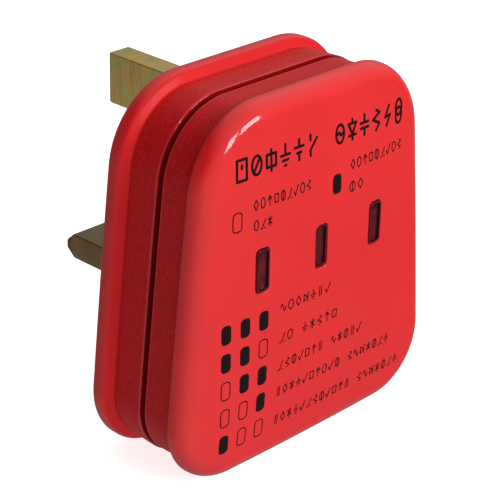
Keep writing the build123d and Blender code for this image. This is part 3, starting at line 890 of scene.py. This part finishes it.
TITLE_SYMBOLS = {
    "outlet": [[(0.0, 0.0), (1.0, 0.0), (1.0, 1.0), (0.0, 1.0), (0.0, 0.0)], [(0.5, 0.58), (0.5, 0.72)]],
    "lamp": [ring_stroke(0.5, 0.5, 0.5, 0.9), [(0.2, 0.2), (0.8, 0.8)]],
    "fuse": [[(0.5, 0.0), (0.5, 1.0)], [(0.0, 0.2), (1.0, 0.2), (1.0, 0.8), (0.0, 0.8), (0.0, 0.2)]],
    "earth": EARTH_SIGN,
    "cell": [[(0.5, 1.0), (0.5, 0.64)], [(0.0, 0.64), (1.0, 0.64)], [(0.26, 0.36), (0.74, 0.36)],
             [(0.5, 0.36), (0.5, 0.0)]],
    "switch": [[(0.25, 0.0), (0.25, 0.28), (1.0, 0.78)], [(0.25, 0.74), (0.25, 1.0)]],
    "source": [ring_stroke(0.5, 0.5, 0.5, 0.9), wave_stroke(0.22, 0.5, 0.56, 0.08)],
    "diode": [[(0.5, 1.0), (0.5, 0.8)], [(0.0, 0.8), (1.0, 0.8), (0.5, 0.26), (0.0, 0.8)],
              [(0.05, 0.22), (0.95, 0.22)], [(0.5, 0.22), (0.5, 0.0)]],
    "capacitor": [[(0.5, 1.0), (0.5, 0.62)], [(0.0, 0.62), (1.0, 0.62)], [(0.0, 0.36), (1.0, 0.36)],
                  [(0.5, 0.36), (0.5, 0.0)]],
    "resistor": [[(0.5, 1.0), (0.95, 0.84), (0.05, 0.56), (0.95, 0.3), (0.5, 0.0)]],
    "spark": [[(0.7, 1.0), (0.15, 0.45), (0.85, 0.52), (0.35, 0.0)]],
    "coupling": [ring_stroke(0.5, 0.7, 0.42, 0.95), ring_stroke(0.5, 0.3, 0.42, 0.95)],
}

# Rows of print on the face: x of the start and end, and z of the base line, before the names
TITLE_BASE = 11.1
TITLE_HEIGHT = 3.4
TITLE_FILL = 0.8              # share of its pitch that a title symbol covers
TITLE_GROUPS = (
    (-16.7, -1.0, ("outlet", "lamp", "fuse", "earth", "cell", "switch")),
    (2.5, 17.3, ("source", "diode", "capacitor", "resistor", "spark", "coupling")),
)
SMALL_HEIGHT = 1.65
SMALL_FILL = 0.8
OFF_SAMPLE = (-16.4, 5.5)     # centre of the empty sample mark, and of the filled one
ON_SAMPLE = (2.9, 5.6)
LEGENDS = (
    (-13.6, -2.4, 6.3, ("gem", "ring", "up", "fuse", "half", "open", "tick", "ring", "zigzag")),
    (-13.5, -10.0, 3.3, ("ring", "open", "star")),
    (5.7, 17.2, 6.8, ("gem", "ring", "up", "fuse", "half", "open", "tick", "ring", "zigzag")),
    (5.5, 8.6, 3.45, ("half", "gem")),
)
CODE_COLUMNS = (-18.12, -14.67, -11.22)
CODE_TOP_ROW = -10.83
CODE_PITCH = 4.36
CODE_TEXT_X = -8.1
# Lamp pattern, rise of the words over the marks' middle line, x of their end, and their symbols
CODE_ROWS = (
    ("●●●", 0.83, 2.2,
     ("wave", "ring", "gem", "diode", "earth", "plates", "tick")),
    ("●●○", 0.43, 4.0,
     ("open", "ring", None, "earth", "star", "zigzag", "up", "fuse")),
    ("○●●", 0.3, 9.8,
     ("open", "zigzag", "half", "tick", "fuse", "up", "plates", None, "wave", "star", "half", "plates",
      "tick")),
    ("○○●", 0.3, 16.7,
     ("plates", "gem", "star", "earth", "tick", "fuse", "up", "ring", "tick", "half", None, "zigzag",
      "wave", "diode", "star", "half", "open", "earth")),
    ("●○○", -0.08, 19.5,
     ("plates", "gem", "star", "earth", "tick", "open", "zigzag", "half", "tick", "fuse", "up", "plates",
      None, "zigzag", "wave", "diode", "star", "half", "open", "earth")),
)


def stroke_shapes(points, width):
    """Polygons that cover a stroke: a bar for each of its runs and a disc at each of its points."""
    shapes = [circle(point, width / 2, 12) for point in points]
    for start, end in zip(points, points[1:]):
        run = Vector(end) - Vector(start)
        if run.length < 1e-6:
            continue
        side = Vector((-run.y, run.x)).normalized() * width / 2
        count = max(1, round(run.length))
        down = [Vector(start) + run * k / count - side for k in range(count + 1)]
        back = [Vector(start) + run * k / count + side for k in range(count, -1, -1)]
        shapes.append([tuple(p) for p in down + back])
    return shapes


def ink(skin, shapes):
    """A thin closed layer over the union of the shapes, which follows the label face."""
    coords = [Vector(point) for shape in shapes for point in shape]
    faces = []
    first = 0
    for shape in shapes:
        faces.append(list(range(first, first + len(shape))))
        first += len(shape)
    spots, _, triangles, _, _, sources = delaunay_2d_cdt(coords, [], faces, 0, 1e-5)
    kept = [tuple(triangle) for triangle, source in zip(triangles, sources) if source]
    used = sorted({k for triangle in kept for k in triangle})
    rank = {k: n for n, k in enumerate(used)}
    flat = [tuple(spots[k]) for k in used]
    top = skin.loop(flat, lambda x, z: face_depth(x, z) + INK_PROUD)
    bottom = skin.loop(flat, lambda x, z: face_depth(x, z) - INK_SUNK)
    rims = {}
    for triangle in kept:
        a, b, c = (rank[k] for k in triangle)
        skin.faces.append((top[a], top[b], top[c]))
        skin.faces.append((bottom[c], bottom[b], bottom[a]))
        for one, other in ((a, b), (b, c), (c, a)):
            if (other, one) in rims:
                del rims[(other, one)]
            else:
                rims[(one, other)] = True
    for one, other in rims:
        skin.faces.append((top[other], top[one], bottom[one], bottom[other]))


def symbol(skin, strokes, x, z, width, height, line):
    """One symbol in a cell of that width and height, whose lower left corner is at x and z."""
    shapes = []
    for stroke in strokes:
        placed = [(x + u * width, z + v * height) for u, v in stroke]
        shapes += stroke_shapes(placed, line)
    ink(skin, shapes)


def make_title():
    skin = Skin()
    for start, end, names in TITLE_GROUPS:
        pitch = (end - start) / (len(names) - 1 + TITLE_FILL)
        width = TITLE_FILL * pitch - TITLE_LINE
        for k, name in enumerate(names):
            x, z = start + k * pitch + TITLE_LINE / 2, TITLE_BASE + TITLE_LINE / 2
            symbol(skin, TITLE_SYMBOLS[name], x, z, width, TITLE_HEIGHT - TITLE_LINE, TITLE_LINE)
    skin.finish("print_title", INK)


def small_row(skin, start, end, base, names):
    """A row of small symbols spread from start to end, with a gap where a name is missing."""
    pitch = (end - start) / (len(names) - 1 + SMALL_FILL)
    width = SMALL_FILL * pitch - FINE_LINE
    for k, name in enumerate(names):
        if name:
            x, z = start + k * pitch + FINE_LINE / 2, base + FINE_LINE / 2
            symbol(skin, SYMBOLS[name], x, z, width, SMALL_HEIGHT - FINE_LINE, FINE_LINE)


def mark(skin, place, filled):
    """A lamp mark, filled or drawn in outline."""
    if filled:
        ink(skin, [rounded_rectangle(place, MARK_SIZE, MARK_CORNER)])
        return
    middle = rounded_rectangle(place, grown(MARK_SIZE, -FINE_LINE / 2), MARK_CORNER - FINE_LINE / 2)
    ink(skin, stroke_shapes(middle + middle[:1], FINE_LINE))


def make_key():
    """The legends over the windows, and the code rows under them."""
    skin = Skin()
    for start, end, base, names in LEGENDS:
        small_row(skin, start, end, base, names)
    mark(skin, OFF_SAMPLE, False)
    mark(skin, ON_SAMPLE, True)
    for row, (pattern, rise, end, names) in enumerate(CODE_ROWS):
        z = CODE_TOP_ROW - row * CODE_PITCH
        for x, state in zip(CODE_COLUMNS, pattern):
            mark(skin, (x, z), state == "●")
        small_row(skin, CODE_TEXT_X, end, z + rise - SMALL_HEIGHT / 2, names)
    skin.finish("print_key", INK)


make_back_shell()
make_front_shell()
for pin_name in PIN_NODES:
    make_pin(pin_name)
for lens_side, lens_centre in zip(("left", "middle", "right"), WINDOW_CENTRES):
    make_lens(lens_side, lens_centre)
make_screws()
make_title()
make_key()
finish_carried_nodes()


# Stage, light and camera

FLOOR_HALF = 3.0              # metres


def make_floor():
    """A wide pale floor under the object."""
    surface = Surface("floor_pale", Specular_IOR_Level=0.0)
    tone = surface.ranged(surface.noise(4, 2.0), 0.3, 0.7, 0.97, 1.0)
    colour = surface.mixed(tone, (0.88, 0.88, 0.88, 1), (0.90, 0.90, 0.90, 1))
    surface.set(Base_Color=colour, Roughness=0.9, Emission_Color=(1, 1, 1, 1), Emission_Strength=0.8)
    height = min(FRONT_LOW.z, BACK_LOW.z) * MM
    mesh = bpy.data.meshes.new("floor")
    corners = [(x * FLOOR_HALF, y * FLOOR_HALF, height) for x, y in ((-1, -1), (1, -1), (1, 1), (-1, 1))]
    mesh.from_pydata(corners, [], [(0, 1, 2, 3)])
    floor = bpy.data.objects.new("floor", mesh)
    bpy.context.scene.collection.objects.link(floor)
    floor.data.materials.append(surface.material)
    floor.visible_diffuse = False
    floor.visible_glossy = False
    floor.visible_shadow = False


def direction(azimuth, elevation):
    """Unit vector from the object outwards; azimuth 0 is in front of the label, 90 to its right."""
    a, e = radians(azimuth), radians(elevation)
    return Vector((sin(a) * cos(e), -cos(a) * cos(e), sin(e)))


def softbox(name, azimuth, elevation, distance, width, height, radiance):
    """A white rectangular lamp that faces the object, with sizes in metres."""
    lamp = bpy.data.lights.new(name, "AREA")
    lamp.shape = "RECTANGLE"
    lamp.size = width
    lamp.size_y = height
    lamp.energy = radiance * pi * width * height
    box = bpy.data.objects.new(name, lamp)
    towards = direction(azimuth, elevation)
    box.location = towards * distance
    box.rotation_euler = towards.to_track_quat("Z", "Y").to_euler()
    bpy.context.scene.collection.objects.link(box)
    box.visible_camera = False


# Soft patches of the surrounding light: azimuth, elevation and strength of each
PATCHES = (
    (-30, -20, 0.33), (60, 65, 0.75), (0, 0, 0.36), (135, 30, 0.3),
    (60, -45, 0.22), (-80, -40, 0.27), (-140, -20, 0.2), (0, -90, 0.12),
)
PATCH_EDGE = 0.3              # cosine at which a patch fades out


def make_world():
    """Soft patches of white light around the object, with little from the upper left."""
    world = bpy.data.worlds.new("studio")
    bpy.context.scene.world = world
    world.use_nodes = True
    tree = world.node_tree
    background = tree.nodes["Background"]
    background.inputs["Color"].default_value = (1, 1, 1, 1)
    place = tree.nodes.new("ShaderNodeTexCoord").outputs["Generated"]
    total = None
    for azimuth, elevation, strength in PATCHES:
        dot = tree.nodes.new("ShaderNodeVectorMath")
        dot.operation = "DOT_PRODUCT"
        tree.links.new(place, dot.inputs[0])
        dot.inputs[1].default_value = direction(azimuth, elevation)
        patch = tree.nodes.new("ShaderNodeMapRange")
        patch.interpolation_type = "SMOOTHSTEP"
        tree.links.new(dot.outputs["Value"], patch.inputs["Value"])
        patch.inputs["From Min"].default_value = PATCH_EDGE
        patch.inputs["To Max"].default_value = strength
        if total is None:
            total = patch.outputs["Result"]
            continue
        add = tree.nodes.new("ShaderNodeMath")
        tree.links.new(total, add.inputs[0])
        tree.links.new(patch.outputs["Result"], add.inputs[1])
        total = add.outputs[0]
    tree.links.new(total, background.inputs["Strength"])


CAMERA_AZIMUTH = -46.23
CAMERA_ELEVATION = 25.84
CAMERA_ROLL = 1.36
CAMERA_TARGET = Vector((-4.8, -10.0, -7.0)) * MM
CAMERA_DISTANCE = 266.4 * MM
CAMERA_LENS = 134.23
CAMERA_SENSOR = 36
CAMERA_SHIFT = (0.0086, 0.0182)
CAMERA_CLIP_START = 0.01


def make_camera():
    camera = bpy.data.objects.new("camera", bpy.data.cameras.new("camera"))
    back = direction(CAMERA_AZIMUTH, CAMERA_ELEVATION)
    right = Vector((0, 0, 1)).cross(back).normalized()
    up = back.cross(right)
    roll = radians(CAMERA_ROLL)
    tilted_right = right * cos(roll) + up * sin(roll)
    tilted_up = up * cos(roll) - right * sin(roll)
    turn = Matrix((tilted_right, tilted_up, back)).transposed().to_4x4()
    camera.matrix_world = Matrix.Translation(CAMERA_TARGET + back * CAMERA_DISTANCE) @ turn
    camera.data.lens = CAMERA_LENS
    camera.data.sensor_width = CAMERA_SENSOR
    camera.data.shift_x, camera.data.shift_y = CAMERA_SHIFT
    camera.data.clip_start = CAMERA_CLIP_START
    bpy.context.scene.collection.objects.link(camera)
    bpy.context.scene.camera = camera


make_floor()
make_world()
softbox("key_left", azimuth=-1, elevation=25, distance=0.5, width=0.10, height=0.14, radiance=12.0)
softbox("key_right", azimuth=23, elevation=27, distance=0.5, width=0.17, height=0.12, radiance=12.0)
make_camera()
bpy.context.scene.view_settings.view_transform = "Standard"
